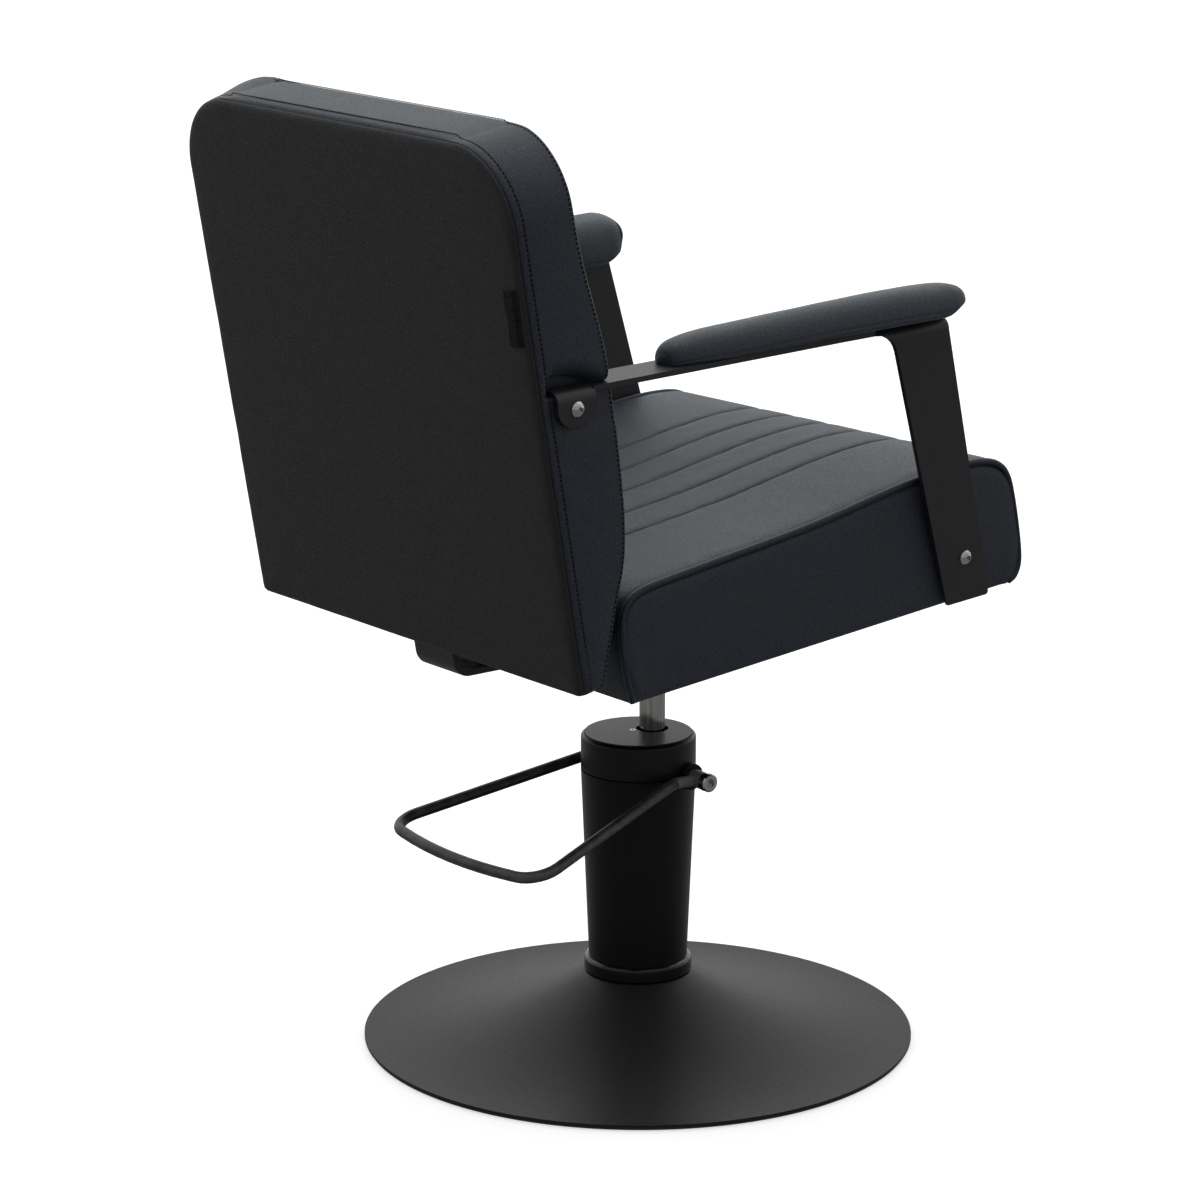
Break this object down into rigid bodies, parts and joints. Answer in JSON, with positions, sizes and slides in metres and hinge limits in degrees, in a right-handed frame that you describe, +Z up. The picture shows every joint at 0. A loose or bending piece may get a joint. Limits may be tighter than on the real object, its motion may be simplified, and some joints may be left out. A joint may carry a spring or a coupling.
{
  "type": "hairdressing chair",
  "caption": "Hydraulic hairdressing chair: round base, pump column with foot pedal, channelled seat, reclined padded back and bent-plate arms with pads.",
  "frame": {"origin": "on the floor, at the centre of the round base", "axes": "+Z up; the sitter faces -Y, so the back is on +Y; +X is the sitter's left"},
  "size_m": [0.5618, 0.6284, 0.94],
  "materials": {
    "base_paint": "matt black powder coat",
    "column_paint": "satin black paint",
    "frame_paint": "fine textured black powder coat",
    "pedal_paint": "black powder coat, rubbed on the foot bar",
    "black_gloss_paint": "gloss black",
    "raw_iron": "primed",
    "steel": "zinc plated",
    "dark_steel": "black oxide",
    "bright_steel": "nickel plated",
    "chrome_rod": "ground and hard chromed",
    "bronze": "machined",
    "black_rubber": "moulded",
    "lining_cloth": "non-woven lining",
    "woven_tab": "woven ribbon, bare",
    "plywood": "birch plywood and timber",
    "black_leather": "fine-grained black upholstery leather"
  },
  "bodies": {
    "base": {"base_cover": "base_paint", "base_plate": "raw_iron", "floor_ring": "black_rubber", "foot_ring": "black_gloss_paint", "lower_sleeve": "column_paint", "head_cover": "column_paint", "head_cap": "column_paint", "bleed_screw": "dark_steel", "pump_head": "column_paint", "reservoir_tube": "steel", "pump_flange": "steel", "flange_bolts": "steel", "pressure_cylinder": "steel", "rod_bush": "bronze", "wiper_seal": "black_rubber", "plunger_barrel": "steel", "foot_valve": "bronze", "plunger_spring": "steel", "axle_bushes": "bronze"},
    "lift": {"piston": "steel", "piston_seal": "black_rubber", "thrust_bearing": "steel"},
    "seat": {"lift_rod": "chrome_rod", "seat_hub": "frame_paint", "hub_bolt": "steel", "seat_bracket": "frame_paint", "seat_bolts": "steel", "dust_cover": "lining_cloth", "seat_board": "plywood", "seat_side_blocks": "plywood", "seat_cushion": "black_leather", "back_strap": "frame_paint", "strap_bolts": "steel", "back_board": "plywood", "back_side_blocks": "plywood", "back_cushion": "black_leather", "rear_panel": "black_leather", "seam_tab": "woven_tab", "arm_frame_right": "frame_paint", "arm_frame_left": "frame_paint", "arm_bolts": "bright_steel", "arm_pad_bases": "plywood", "arm_pad_right": "black_leather", "arm_pad_left": "black_leather", "arm_pad_screws": "dark_steel"},
    "pedal": {"pedal_bar": "pedal_paint", "pedal_hubs": "pedal_paint", "pedal_axles": "bright_steel", "axle_spacers": "bright_steel", "axle_caps": "bright_steel", "pump_rocker": "steel"},
    "plunger": {"pump_plunger": "steel"}
  },
  "joints": [
    {"name": "lift_slide", "type": "slide", "parent": "base", "child": "lift", "axis": [0, 0, 1], "range_m": [-0.05, 0.085]},
    {"name": "swivel", "type": "hinge", "parent": "lift", "child": "seat", "pos_m": [0, -0.017, 0.3], "axis": [0, 0, 1], "continuous": true},
    {"name": "pedal_pivot", "type": "hinge", "parent": "base", "child": "pedal", "pos_m": [0, -0.02, 0.27], "axis": [-1, 0, 0], "range_deg": [0, 24], "stiffness_Nm_per_rad": 6, "springref_deg": -20.05},
    {"name": "plunger_slide", "type": "slide", "parent": "base", "child": "plunger", "axis": [0, 0, -1], "range_m": [0, 0.0145], "deforming": ["plunger_spring"]}
  ],
  "couplings": [
    {"joint": "plunger_slide", "follows": "pedal_pivot", "m_per_rad": 0.034}
  ]
}
